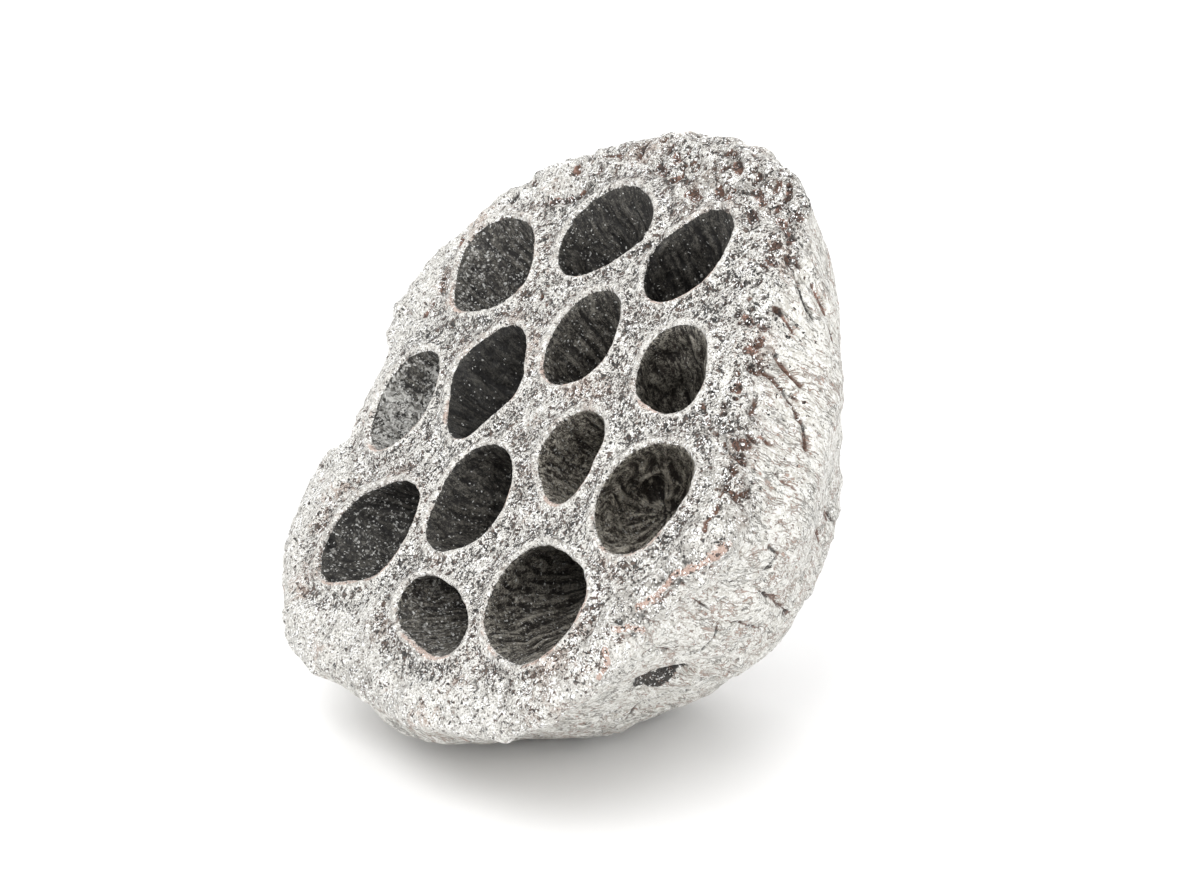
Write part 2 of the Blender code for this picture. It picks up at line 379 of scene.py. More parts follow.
# How far a mark's path may lie off the skin and still show on it.
MARK_REACH = 2.5
# Half width, height, colour and half width of the colour of each kind of mark. A negative height
# is a groove, and a colour with a half width of -1 doesn't show.
MARKS = (
    (0.50, 0.60, "pink", 0.34, PINK_RIDGES),
    (0.40, -0.60, "rust", 0.20, RIM_CRACKS),
    (0.55, -0.55, "dark", 0.16, FOLD_CRACKS),
    (0.35, -0.30, "rust", 0.12, WALL_CRACKS),
    (0.35, -0.35, "dark", 0.10, DARK_TICKS),
    (0.60, -0.80, "rust", 0.48, MARGIN_PITS),
    (0.50, -0.55, "dark", 0.26, DARK_PITS),
    (0.45, -0.30, "rust", 0.20, WALL_STREAKS),
    (1.20, -0.90, "dark", 0.95, TORN_PATCH),
    (0.60, 0.55, "dark", -1.00, SEED_SCAR_RING),
    (0.70, -0.80, "dark", 0.30, SEED_SCAR_PIT),
)
# How far the rim stands beyond its plain outline: turn in degrees and millimetres.
RIM_TRIM = (
    (50, 0.0), (60, 0.6), (65, 0.9), (72, 0.7), (80, 0.1), (92, 0.3), (110, 0.6), (118, 0.1),
    (126, 0.4), (140, 0.0), (150, -0.4), (160, 0.0), (170, 0.7), (176, 1.5), (186, 1.6), (190, 0.1),
    (195, 1.0), (200, 0.7), (205, 1.3), (211, 0.2), (214, 2.2), (220, 1.5), (227, 1.0), (240, 1.2),
    (250, 0.9), (265, 0.2), (270, 0.6), (285, 0.3), (300, 0.0),
)
# Low swellings and hollows of the wall: middle, radius and height.
SWELLS = (
    ((20.5, 7.0, -24.5), 6.0, 1.0), ((11.0, -22.5, -23.5), 5.5, 1.0),
    ((19.0, -14.5, -21.5), 4.0, -0.6),
)
# Where the margin lies in a hollow and painted shade makes its coat greyer: middle and radius.
SHADES = (
    ((29.0, 2.0, -2.0), 9.0), ((24.5, 10.0, -2.0), 4.0), ((0.0, 31.0, -1.0), 6.0),
    ((29.0, -7.0, -2.0), 6.5), ((-17.0, 26.0, -1.0), 5.0), ((25.0, -20.0, -2.0), 6.0),
    ((4.0, -30.0, -2.0), 6.0), ((8.0, 32.5, -1.5), 4.5),
)
# The scar where the stem broke off: its middle, its radius and the ring of air canals in it.
SCAR_MIDDLE = (0.0, -4.5, -37.8)
SCAR_RADIUS = 5.2
CANALS = 7
CANAL_RING_RADIUS = 2.9


def mark_distance(points, normals, path):
    """How far each point is from a path that runs along the skin, measured along the skin."""
    best = np.full(len(points), 99.0)
    for start, end in zip(np.array(path[:-1], float), np.array(path[1:], float)):
        step = end - start
        share = np.clip((points - start) @ step / (step @ step), 0.0, 1.0)
        gap = points - start - share[:, None] * step
        off_skin = np.einsum("ij,ij->i", gap, normals)
        reach = np.linalg.norm(gap, axis=1)
        best = np.where(reach < MARK_REACH, np.minimum(best, np.sqrt(reach**2 - off_skin**2)), best)
    return best


# Sizes, heights and depths of the relief, in millimetres.
CELL_EDGE = 0.45
LIP_WIDTH = 0.42
LIP_HEIGHT = 0.30
WEB_SINK = 0.20
KNOB_SIZE = 3.4
KNOB_HEIGHT = 0.55
SMALL_KNOB_SIZE = 1.3
SMALL_KNOB_HEIGHT = 0.35
PIT_SPACING = 1.20
PIT_DEPTH = 0.75
FOLD_SIZE = 2.6
FOLD_HEIGHT = 0.56
FIBRE_SIZE = 1.5
FIBRE_HEIGHT = 0.38
PLEAT_SIZE = 1.35
PLEAT_HEIGHT = 0.75
# Share of the rim radius at which the domed face has dropped by 1 mm.
DOME_SHARE = 0.93
# How much the pleats lean for each millimetre of depth and of the cell's place along Y, so that
# they run straight down into the pod although the cells draw together below the face.
PLEAT_LEAN = 0.004


class Regions:
    """Where on the pod each point of the skin is, and the coordinates its fibres are long in."""

    def __init__(self, at):
        self.at = at
        self.which, self.out, self.cell_turn = cell_places(at)
        self.depth = -at[:, 2]
        self.turn = np.arctan2(at[:, 1], at[:, 0])
        self.radius = np.hypot(at[:, 0], at[:, 1])
        self.rim = closed_curve(RIM_RADII, self.turn)
        face_level = (np.minimum(self.radius / self.rim, 1.0) / DOME_SHARE) ** 2
        self.below = self.depth - face_level
        self.above_floor = self.depth < self.of_cell("depth") + 1.0
        within = smoothstep(CELL_EDGE, 0.0, self.out) * smoothstep(0.0, 0.4, self.below)
        self.inside = within * self.above_floor
        self.outside = 1.0 - self.inside
        self.wall = self.outside * smoothstep(1.5, 5.5, self.depth + 2.0 * rough(at, 4.0, seed=9))
        self.face = self.outside * (1.0 - self.wall)
        self.web = self.face * smoothstep(4.5, 2.2, self.out)
        self.margin = self.outside * (1.0 - self.web) * smoothstep(9.0, 4.0, self.depth)
        self.spongy = smoothstep(
            -0.35, 0.45, 1.2 * rough(at, 7.0, seed=17, octaves=2) + 0.8 * np.cos(self.turn - 1.2) - 0.1)
        self.lip = hump(LIP_WIDTH, LIP_WIDTH, self.out) * self.face
        self.warp = np.stack([lumps(at, 7.0, seed=91 + k) for k in range(3)], axis=1)
        self.fibre_at = self.along_fibres()
        self.pleat_at = self.along_pleats()

    def of_cell(self, field):
        """The value that each point's nearest cell has in a field."""
        return np.array([getattr(cell, field) for cell in CELLS])[self.which]

    def along_fibres(self):
        """The wall's fibres run from the rim to the stem end, swirling a little."""
        swirl = self.turn + 0.035 * lumps(self.at, 6.0, seed=5) + 0.05 * lumps(self.at, 15.0, seed=6)
        drawn_in = 16.5 + 0.45 * self.radius
        return np.stack([drawn_in * np.cos(swirl), drawn_in * np.sin(swirl), 0.35 * self.depth], axis=1)

    def along_pleats(self):
        """The cells' pleats run down their walls. Each cell has its own."""
        mouth = self.of_cell("radius")
        lean = PLEAT_LEAN * self.of_cell("y") * self.depth
        bent = self.cell_turn + 0.14 * lumps(self.at, 3.0, seed=7) + lean
        along = np.stack([mouth * np.cos(bent), mouth * np.sin(bent), 0.30 * self.depth], axis=1)
        return along + (40.0 + 20.0 * self.which[:, None])


def trim_rim(skin, pod):
    """Moves the rim to its own outline."""
    trim = np.interp(np.degrees(pod.turn), *np.array(RIM_TRIM).T, period=360)
    fade = smoothstep(6.0, 1.0, pod.rim - pod.radius) * smoothstep(12.0, 3.0, pod.depth)
    trim *= fade * smoothstep(0.5, 2.5, pod.out)
    skin.at[:, :2] += pod.at[:, :2] * (trim / np.maximum(pod.radius, 1.0))[:, None]


def broad_relief(pod):
    """Large lumps and swellings, the raised lips and the web that sinks between them."""
    uneven = 0.45 * lumps(pod.at, 11.0, seed=1) + 0.40 * lumps(pod.at, 6.0, seed=2)
    height = pod.outside * uneven * (1.0 - 0.7 * pod.web)
    for middle, reach, rise in SWELLS:
        height += pod.outside * rise * hump(0.0, reach, np.linalg.norm(pod.at - middle, axis=1))
    height += LIP_HEIGHT * pod.lip * (0.8 + 0.6 * lumps(pod.at, 4.0, seed=3))
    height -= WEB_SINK * pod.web * smoothstep(0.7, 2.0, pod.out)
    return height


def margin_pits(pod):
    """Each point's distance to the nearest pit of the spongy margin, and that pit's radius."""
    pit_at = 0.5 * (pod.fibre_at + pod.at) + 0.3 * pod.warp
    distance, value = nearest_point(pit_at, PIT_SPACING, seed=21)
    pit_radius = np.where(value > 0.25, 0.20 + 0.34 * value, 0.0)
    pit_radius *= smoothstep(0.25, 0.6, pod.spongy * pod.margin) * smoothstep(5.0, 3.0, pod.depth)
    return distance, pit_radius


def fine_relief(pod, pit_distance, pit_radius):
    """Knobs and pits of the margin, folds and fibres of the wall, grain and pleats."""
    at = pod.at
    knobs = np.abs(rough(at + 1.2 * pod.warp, KNOB_SIZE, seed=11, octaves=2)) * 1.5 - 0.45
    small_knobs = np.abs(lumps(pod.fibre_at + 0.8 * pod.warp, SMALL_KNOB_SIZE, seed=15)) - 0.35
    pits = hump(0.0, pit_radius + 0.05, pit_distance) * (pit_radius > 0.1)
    relief = pod.margin * (KNOB_HEIGHT * knobs + SMALL_KNOB_HEIGHT * small_knobs) - PIT_DEPTH * pits

    folds = np.abs(rough(pod.fibre_at * 0.8 + 0.9 * pod.warp, FOLD_SIZE, seed=51, octaves=2))
    fibre = np.abs(rough(pod.fibre_at + 0.35 * pod.warp, FIBRE_SIZE, seed=41))
    relief += pod.wall * (FOLD_HEIGHT * (folds - 0.3) + FIBRE_HEIGHT * (fibre - 0.25))

    grain = 0.16 * lumps(at, 1.3, seed=61) + 0.10 * lumps(at, 0.7, seed=62)
    relief += pod.face * grain * (1.0 - 0.75 * pod.lip)

    pleat = np.abs(rough(pod.pleat_at, PLEAT_SIZE, seed=71, octaves=2))
    pleats = PLEAT_HEIGHT * (pleat - 0.3) + 0.10 * lumps(at, 0.8, seed=72)
    return relief + pod.inside * smoothstep(0.5, 2.0, pod.below) * pleats


def cut_marks(pod, normals, relief, stain):
    """Adds the marks, which waver a little, to the relief and the stains."""
    wavering = pod.at + 0.16 * np.stack([lumps(pod.at, 0.9, seed=95 + k) for k in range(3)], axis=1)
    for half_width, rise, colour, stain_width, paths in MARKS:
        for path in paths:
            away = mark_distance(wavering, normals, path)
            relief += rise * hump(0.0, half_width, away)
            stain[colour] = np.maximum(stain[colour], stain_width - away)


def cut_stem_scar(pod, relief, stain):
    """Adds the scar of the stem, with its raised edge and its air canals."""
    from_scar = pod.at - SCAR_MIDDLE
    radius = np.linalg.norm(from_scar, axis=1)
    scar = smoothstep(SCAR_RADIUS, SCAR_RADIUS - 1.6, radius + 0.8 * lumps(pod.at, 2.0, seed=97))
    pitted = np.abs(lumps(pod.at, 1.2, seed=98)) - 0.3
    relief += 0.7 * hump(SCAR_RADIUS, 1.0, radius) + 0.35 * scar * pitted
    canal_turn = math.tau / CANALS
    off_canal = (np.arctan2(from_scar[:, 1], from_scar[:, 0]) / canal_turn % 1.0 - 0.5) * canal_turn
    canal = hump(0.0, 0.65, np.hypot(CANAL_RING_RADIUS * off_canal, radius - CANAL_RING_RADIUS))
    canal = np.maximum(canal, hump(0.0, 0.9, radius)) * scar
    relief -= 1.2 * canal
    stain["rust"] = np.maximum(stain["rust"], 0.6 * scar - 0.4)
    stain["dark"] = np.maximum(stain["dark"], canal - 0.5)


def note_regions(skin, pod):
    """Notes on the skin where the coat changes."""
    settled = 0.6 - 0.7 * np.sin(pod.cell_turn + 0.3) + 0.8 * rough(pod.at, 3.0, seed=81)
    settled += 0.05 * (6.0 - pod.below)
    dust = pod.of_cell("dust") * smoothstep(-0.4, 1.2, settled) * pod.inside
    # The shade notes where painted shade greys the coat in the margin's hollows.
    shade = np.zeros(len(pod.at))
    for middle, reach in SHADES:
        shade = np.maximum(shade, hump(0.0, reach, np.linalg.norm(pod.at - middle, axis=1)))
    between_cells = pod.web * smoothstep(0.94, 0.82, pod.radius / pod.rim)
    pepper = np.maximum(between_cells, 0.62 * pod.margin * pod.spongy)
    # The pink edge inside each mouth is painted stronger on its lit side, as painted light.
    lit_side = 0.55 + 0.45 * np.cos(pod.cell_turn + 0.6)
    broken = smoothstep(-0.5, 0.3, rough(pod.at, 3.0, seed=85, octaves=2))
    hollow = smoothstep(0.32, 0.10, pod.out) * smoothstep(0.05, 0.35, pod.below)
    skin.note("hollow", hollow * pod.above_floor)
    skin.note("dust", dust)
    skin.note("tone", pod.of_cell("tone"))
    skin.note("wall", pod.wall)
    skin.note("lip", pod.lip)
    skin.note("shade", shade * (1.0 - 0.6 * pod.lip))
    skin.note("pepper", pepper * (0.85 + 0.3 * lumps(pod.at, 4.0, seed=88)))
    skin.note("rosy", hump(0.25, 0.28, pod.out) * lit_side * broken)
    skin.note("fibre_at", pod.fibre_at)
    skin.note("pleat_at", pod.pleat_at)


def sculpt(skin):
    """Gives the skin its relief, and notes on it where the coat changes."""
    skin.smooth(7)
    pod = Regions(skin.at.copy())
    trim_rim(skin, pod)
    skin.push(broad_relief(pod))
    skin.smooth(1)
    pit_distance, pit_radius = margin_pits(pod)
    relief = fine_relief(pod, pit_distance, pit_radius)
    stain = {colour: np.full(len(pod.at), -1.0) for colour in ("pink", "rust", "dark")}
    cut_marks(pod, skin.outward(), relief, stain)
    cut_stem_scar(pod, relief, stain)
    skin.push(relief)
    note_regions(skin, pod)
    skin.note("pit", np.maximum(pit_radius - pit_distance, -1.0))
    # How far each point stands above or below its blurred surroundings; the coat is painted darker in the
    # creases and the cells' tissue lighter on the ridges, as painted light and shade.
    skin.note("crevice", relief - skin.blurred(relief, 10))
    for colour, values in stain.items():
        skin.note(colour, values)
    skin.store()


class Socket:
    """A shader value that Python's operators build Math nodes from."""

    def __init__(self, tree, link):
        self.tree = tree
        self.link = link

    def _math(self, operation, *values):
        return self.tree.make("ShaderNodeMath", {"operation": operation}, dict(enumerate(values)))

    def __add__(self, other):
        return self._math("ADD", self, other)

    __radd__ = __add__

    def __sub__(self, other):
        return self._math("SUBTRACT", self, other)

    def __rsub__(self, other):
        return self._math("SUBTRACT", other, self)

    def __mul__(self, other):
        return self._math("MULTIPLY", self, other)

    __rmul__ = __mul__

    def __gt__(self, other):
        return self._math("GREATER_THAN", self, other)

    def __lt__(self, other):
        return self._math("LESS_THAN", self, other)


class Tree:
    """A material's node tree."""

    def __init__(self, name):
        self.material = bpy.data.materials.new(name)
        self.material.use_nodes = True
        self.tree = self.material.node_tree
        self.shader = self.tree.nodes["Principled BSDF"]

    def make(self, kind, settings, values, output=0):
        """A node of a kind, with its settings, its sockets' values or links, and one output."""
        node = self.tree.nodes.new(kind)
        for key, value in settings.items():
            setattr(node, key, value)
        self.fill(node, values)
        return Socket(self, node.outputs[output])

    def fill(self, node, values):
        for key, value in values.items():
            if isinstance(value, Socket):
                self.tree.links.new(value.link, node.inputs[key])
            else:
                node.inputs[key].default_value = value

    def also(self, socket, output):
        """Another output of the node that a socket is on."""
        return Socket(self, socket.link.node.outputs[output])

    def attribute(self, name, output=2):
        return self.make("ShaderNodeAttribute", {"attribute_name": name}, {}, output)

    def noise(self, vector, scale, detail=3.0, roughness=0.55, colour=False):
        return self.make("ShaderNodeTexNoise", {}, {
            "Vector": vector, "Scale": scale, "Detail": detail, "Roughness": roughness}, int(colour))

    def steps(self, value, low, high, to_low=0.0, to_high=1.0):
        """A smooth step from to_low to to_high as a value goes from low to high."""
        return self.make("ShaderNodeMapRange", {"interpolation_type": "SMOOTHSTEP"}, {
            "Value": value, 1: low, 2: high, 3: to_low, 4: to_high})

    def most(self, first, second):
        return self.make("ShaderNodeMath", {"operation": "MAXIMUM"}, {0: first, 1: second})

    def choose(self, factor, first, second):
        return self.make("ShaderNodeMix", {"data_type": "FLOAT"}, {0: factor, 2: first, 3: second})

    def line(self, noise, reach):
        """1 along the contour where a noise is at its middle value, thinning out to 0."""
        away = self.make("ShaderNodeMath", {"operation": "ABSOLUTE"}, {0: noise - 0.5})
        return self.steps(away, reach, 0.0)

    def vector(self, operation, *values, **named):
        sockets = {**dict(enumerate(values)), **named}
        return self.make("ShaderNodeVectorMath", {"operation": operation}, sockets)

    def blend(self, factor, first, second):
        return self.make("ShaderNodeMix", {"data_type": "RGBA"}, {0: factor, 6: first, 7: second}, 2)


def srgb(*values):
    """A colour given as screen values from 0 to 255."""
    linear = [((v / 255 + 0.055) / 1.055) ** 2.4 if v > 10 else v / 255 / 12.92 for v in values]
    return (*linear, 1.0)


# Sizes of the coat's patterns, in metres.
BROAD_SIZE = 0.007
PATCH_SIZE = 0.0030
GLINT_PATCH_SIZE = 0.0016
CLUMP_SIZE = 0.0011
STIR_SIZE = 0.0012
STIR_REACH = 0.0007
THREAD_SIZE = 0.0007
DOT_SIZE = 0.00062
FUZZ_SIZE = 0.00042
GRAIN_SIZE = 0.00026
FLAKE_SIZE = 0.00013
BUMP_DEPTH = 0.0003
# Sizes of the patterns along the wall's fibres and the cells' pleats, in millimetres.
STRAND_SIZE = 0.5
CURL_SIZE = 0.8
WRINKLE_SIZE = 1.3
VEIN_SIZE = 2.2
PLEAT_GRAIN_SIZE = 0.60
STREAK_SIZE = 1.1


class CoatTree(Tree):
    """The coat's node tree, with the places, noises, flakes and regions that its layers share."""

    def __init__(self):
        super().__init__("silver_glitter_coat")
        self.place = self.make("ShaderNodeTexCoord", {}, {}, 3)
        self.fibre_at, self.pleat_at = (self.attribute(name, 1) for name in ("fibre_at", "pleat_at"))
        self.hollow, self.dust, self.tone, self.wall, self.lip, self.shade, self.pepper = (
            self.attribute(name) for name in ("hollow", "dust", "tone", "wall", "lip", "shade", "pepper"))
        self.pit, self.crevice, self.rosy, self.pink, self.rust, self.dark = (
            self.attribute(name) for name in ("pit", "crevice", "rosy", "pink", "rust", "dark"))
        self.bare_lip = self.steps(self.lip, 0.15, 0.75)

        self.broad = self.noise(self.place, 1 / BROAD_SIZE, 2.0, 0.5)
        self.patch = self.noise(self.place, 1 / PATCH_SIZE, 4.0, 0.62)
        self.clump = self.noise(self.place, 1 / CLUMP_SIZE, 4.0, 0.70)
        self.fuzz = self.noise(self.place, 1 / FUZZ_SIZE, 3.0, 0.75)
        stir = self.noise(self.place, 1 / STIR_SIZE, 2.0, 0.5, colour=True)
        self.shaken = self.vector("MULTIPLY_ADD", stir, (STIR_REACH, STIR_REACH, STIR_REACH), self.place)
        self.flakes, self.flake_gap, self.flake_tone, self.flake_glint = self.flake_pattern(FLAKE_SIZE)
        _, self.grain_gap, self.grain_tone, self.grain_glint = self.flake_pattern(GRAIN_SIZE)

    def flake_pattern(self, size):
        """The random colour of each flake of a size, and its three channels."""
        colour = self.make("ShaderNodeTexVoronoi", {}, {"Vector": self.shaken, "Scale": 1 / size}, 1)
        red = self.make("ShaderNodeSeparateColor", {}, {0: colour})
        return colour, red, self.also(red, 1), self.also(red, 2)


def face_layer(t, flake_colour):
    """Overlapping flakes from grey to white, with greyer crusts, painted shade in the margin's hollows,
    paler lips and brown threads.
    """
    tone = 0.5 + 0.8 * (t.fuzz - 0.5) + 0.45 * (t.flake_tone - 0.5)
    coat = t.blend(t.steps(tone, 0.20, 0.62), srgb(131, 128, 121), flake_colour)
    grey = t.blend(t.steps(tone, 0.30, 0.70), srgb(88, 83, 77), srgb(192, 189, 183))
    crust = t.steps(0.35 * t.patch + 0.35 * t.clump + 0.3 * t.fuzz, 0.485, 0.535)
    crust = crust * t.steps(t.pepper + 0.8 * (t.broad - 0.5), 0.0, 0.9, 0.12, 0.42) * (1 - 0.7 * t.bare_lip)
    coat = t.blend(crust, coat, grey)
    tanned = 0.4 * t.steps(0.5 * t.broad + 0.5 * t.clump, 0.55, 0.61)
    coat = t.blend(tanned, coat, srgb(176, 146, 128))
    # Painted shade: the coat is painted grey in the margin's hollows.
    shaded = 0.68 * (t.shade * t.steps(0.5 * t.patch + 0.5 * t.clump, 0.44, 0.54))
    coat = t.blend(shaded, coat, t.blend(tone, srgb(84, 79, 73), srgb(172, 168, 161)))
    lip_coat = t.blend(t.steps(t.fuzz, 0.35, 0.62), srgb(178, 172, 164), srgb(222, 220, 215))
    coat = t.blend(0.55 * t.bare_lip * t.steps(t.clump, 0.44, 0.54, 0.2, 1.0), coat, lip_coat)
    threads = t.line(t.noise(t.shaken, 1 / THREAD_SIZE, 2.0, 0.5), 0.022) * t.steps(t.clump, 0.44, 0.56)
    threads = threads * (1 - 0.6 * t.bare_lip) * t.steps(t.pepper, 0.0, 0.8, 0.35, 1.0)
    return t.blend(0.75 * threads, coat, srgb(78, 66, 58)), threads


def wall_layer(t, wall_colour):
    """The wall's smoother, creamier coat, with thin broken curls, wrinkles, veins and ticks."""
    strands = t.noise(t.fibre_at, 1 / STRAND_SIZE, 4.0, 0.65)
    coat = t.blend(t.steps(0.5 * strands + 0.5 * t.fuzz, 0.40, 0.56), srgb(192, 189, 181), wall_colour)
    curls = t.line(t.noise(t.fibre_at, 1 / CURL_SIZE, 2.0, 0.55), 0.028) * t.steps(t.clump, 0.44, 0.54)
    veins = t.line(t.noise(t.fibre_at, 1 / VEIN_SIZE, 3.0, 0.6), 0.016) * t.steps(t.fuzz, 0.42, 0.50)
    ticks = t.steps(strands + 0.5 * (t.clump - 0.5), 0.61, 0.66)
    long_at = t.vector("MULTIPLY", t.fibre_at, (1.0, 1.0, 0.45))
    wrinkles = t.line(t.noise(long_at, 1 / WRINKLE_SIZE, 3.0, 0.6), 0.020)
    wrinkles = wrinkles * t.steps(0.5 * t.broad + 0.5 * t.clump, 0.47, 0.53)
    marks = t.most(t.most(0.80 * curls, 0.85 * wrinkles), t.most(0.70 * veins, 0.75 * ticks))
    mark_colour = t.blend(t.steps(t.patch, 0.47, 0.53), srgb(156, 120, 102), srgb(112, 106, 98))
    return t.blend(marks, coat, mark_colour), strands + 0.4 * t.fuzz - 0.6 * marks


def stained(t, coat, rust_colour):
    """The coat with its pits, pink and rusty lines, torn patch and darker crevices: brown where the bare
    pod shows, and dark grey as painted shade.
    """
    dab = 0.35 * (t.clump - 0.5) + 0.35 * (t.fuzz - 0.5)
    hole = 0.9 * t.steps(t.pit + 1.4 * dab, -0.06, 0.06)
    coat = t.blend(hole, coat, t.blend(t.steps(t.patch, 0.46, 0.52), srgb(46, 42, 38), srgb(104, 66, 50)))
    # The pink edge inside the mouths, painted stronger on the lit side of each as painted light.
    coat = t.blend(0.65 * t.steps(t.rosy + 0.9 * (t.clump - 0.5), 0.34, 0.60), coat, srgb(188, 160, 146))
    coat = t.blend(0.75 * t.steps(t.pink + 2.4 * dab, -0.03, 0.12), coat, srgb(184, 150, 134))
    rusty = t.blend(t.steps(t.clump, 0.44, 0.54), rust_colour, srgb(94, 64, 51))
    coat = t.blend(0.9 * t.steps(t.rust + dab, -0.04, 0.05), coat, rusty)
    torn = t.steps(t.dark + 1.5 * dab, -0.04, 0.05) * t.steps(t.fuzz + 0.8 * (t.clump - 0.5), 0.66, 0.60)
    coat = t.blend(0.95 * torn, coat, t.blend(t.flake_tone, srgb(16, 14, 12), srgb(50, 44, 38)))
    # The crevices of the relief are painted darker: brown where the bare pod shows, dark grey as painted
    # shade.
    crevice_tissue_and_shade = 0.85 * t.steps(t.crevice + 0.2 * (t.fuzz - 0.5), -0.04, -0.16)
    return t.blend(crevice_tissue_and_shade, coat, t.blend(t.steps(t.patch, 0.46, 0.54), srgb(104, 76, 62), srgb(44, 42, 40)))


def dark_reflections_and_dots(t, coat):
    """The coat with dark flakes in clusters, painted as dark reflections on the glitter, and larger dark
    dots.
    """
    share = t.steps(0.25 * t.patch + 0.35 * t.clump + 0.40 * t.fuzz, 0.44, 0.56, 0.05, 0.72)
    share = share * (1 - 0.65 * t.bare_lip) * (1 - 0.85 * t.wall) * t.steps(t.pepper, 0.0, 0.9, 0.22, 1.0)
    # Painted dark reflections: some flakes are painted near black to grey, and brown in broad patches.
    gap = t.most(t.flake_gap < 0.62 * share, t.grain_gap < 0.36 * share)
    dark_reflection_colour = t.blend(t.grain_tone, srgb(10, 9, 8), srgb(80, 77, 73))
    brown = 0.6 * t.steps(t.broad + 0.6 * (t.flake_tone - 0.5), 0.62, 0.72)
    coat = t.blend(gap, coat, t.blend(brown, dark_reflection_colour, srgb(104, 78, 66)))
    dots = t.noise(t.shaken, 1 / DOT_SIZE, 2.0, 0.60)
    dots = dots + 0.30 * (t.patch - 0.5) - 0.085 * t.pepper - 0.02 * t.shade
    dots = t.steps(dots, 0.370, 0.352) * (1 - 0.9 * t.wall) * (1 - 0.6 * t.bare_lip)
    dot_colour = t.blend(t.steps(t.grain_tone + t.broad, 0.9, 1.2), srgb(24, 22, 20), srgb(84, 66, 56))
    return t.blend(0.92 * dots, coat, dot_colour), gap


def glitter(t, gap):
    """1 on the flakes that glint, in loose clusters; these flakes are painted white as painted highlights.
    """
    share = t.steps(t.noise(t.place, 1 / GLINT_PATCH_SIZE, 3.0, 0.6), 0.46, 0.62, 0.05, 0.28)
    share = share * (1 - 0.75 * t.wall) * (1 - 0.5 * t.bare_lip)
    return t.most(t.flake_glint > 1 - share, t.grain_glint > 1 - 0.25 * share) * (1 - gap)


def cell_layer(t, tissue_colour):
    """Bare tissue in the cells: nearly black, in fine torn pleats, with painted highlights on the ridges
    and painted shade in the creases, and with dust and stray flakes.
    """
    pleats = t.noise(t.pleat_at, 1 / PLEAT_GRAIN_SIZE, 5.0, 0.74)
    weave = 0.50 * pleats + 0.15 * t.clump + 0.30 * t.fuzz + 0.10 * (t.flake_tone - 0.5)
    bare = t.blend(t.steps(weave, 0.44, 0.53), srgb(24, 20, 16), tissue_colour)
    streaks = t.line(t.noise(t.pleat_at, 1 / STREAK_SIZE, 4.0, 0.65), 0.040)
    bare = t.blend(0.95 * streaks, bare, srgb(13, 8, 5))
    bare = t.blend(0.5 * t.line(pleats, 0.015), bare, srgb(138, 134, 124))
    # Painted light: the tissue is painted lighter on the ridges of the relief and nearly black in its
    # creases.
    uneven = t.crevice + 0.2 * (t.fuzz - 0.5)
    bare = t.blend(0.42 * t.steps(uneven, 0.02, 0.12), bare, srgb(122, 118, 110))
    bare = t.blend(0.9 * t.steps(uneven, 0.01, -0.09), bare, srgb(13, 9, 6))
    bare = t.blend(0.8 * t.steps(pleats + 0.4 * (t.patch - 0.5), 0.58, 0.64), bare, srgb(20, 14, 11))
    # Each cell's tone brightens or darkens its tissue, partly as painted light and shade.
    bare = t.vector("SCALE", bare, Scale=t.tone * (0.6 * t.flake_tone + 0.3 * t.grain_tone + 1.1 * pleats))
    dusty = t.dust + 0.7 * (t.clump - 0.5) + 0.4 * (t.fuzz - 0.5) + 0.30 * (t.grain_tone - 0.5)
    dust_colour = t.blend(t.grain_glint, srgb(106, 104, 99), srgb(204, 203, 199))
    bare = t.blend(t.steps(dusty, 0.20, 0.40), bare, dust_colour)
    speck = t.most(t.flake_gap > 0.991 - 0.30 * t.dust, t.grain_gap > 0.9985 - 0.1 * t.dust)
    bare = t.blend(speck, bare, t.blend(t.flake_tone, srgb(80, 80, 78), srgb(225, 225, 222)))
    return bare, pleats + 0.4 * t.fuzz


def coat_material(settings):
    """The whole coat: the face and the wall with their stains and glitter, whose glints are painted
    highlights and whose dark flakes are painted dark reflections, and the bare cells.
    """
    t = CoatTree()
    face_coat, threads = face_layer(t, settings.flake_colour)
    wall_coat, wall_height = wall_layer(t, settings.wall_colour)
    coat = stained(t, t.blend(t.wall, face_coat, wall_coat), settings.rust_colour)
    coat, gap = dark_reflections_and_dots(t, coat)
    glint = glitter(t, gap)
    # Painted highlights: the glinting flakes are painted nearly pure white in the base colour.
    coat = t.blend(glint, coat, srgb(255, 255, 254))
    bare, bare_height = cell_layer(t, settings.tissue_colour)
    in_cell = t.steps(t.hollow + 0.5 * (t.fuzz - 0.5), 0.38, 0.50)

    coat_height = t.choose(t.wall, t.clump + 0.4 * t.fuzz - 0.3 * threads, wall_height)
    height = t.choose(t.hollow, coat_height, bare_height)
    bump = t.make("ShaderNodeBump", {}, {"Strength": 1.0, "Distance": BUMP_DEPTH, "Height": height})
    loose = (1 - 0.5 * t.hollow) * (1 - 0.7 * t.wall) * (1 - 0.5 * t.lip)
    tilt = t.vector("SCALE", t.vector("SUBTRACT", t.flakes, (0.5, 0.5, 0.5)), Scale=0.8 * loose)
    t.fill(t.shader, {
        "Base Color": t.blend(in_cell, coat, bare),
        "Metallic": 0.5 * glint * (1 - t.hollow),
        "Roughness": t.steps(glint + gap, 0.0, 1.0, 0.65, 0.35),
        "Normal": t.vector("NORMALIZE", t.vector("ADD", bump, tilt)),
    })
    return t.material


def pod_skin(settings):
    """The pod's whole skin, in place of its plain solid."""
    obj = even_skin(settings.skin_detail)
    sculpt(Skin(obj.data))
    slim(obj, settings.skin_triangles)
    obj.data.shade_smooth()
    obj.data.materials.clear()
    obj.data.materials.append(coat_material(settings))
    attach(obj, "root")
    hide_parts(NODE)
    return obj


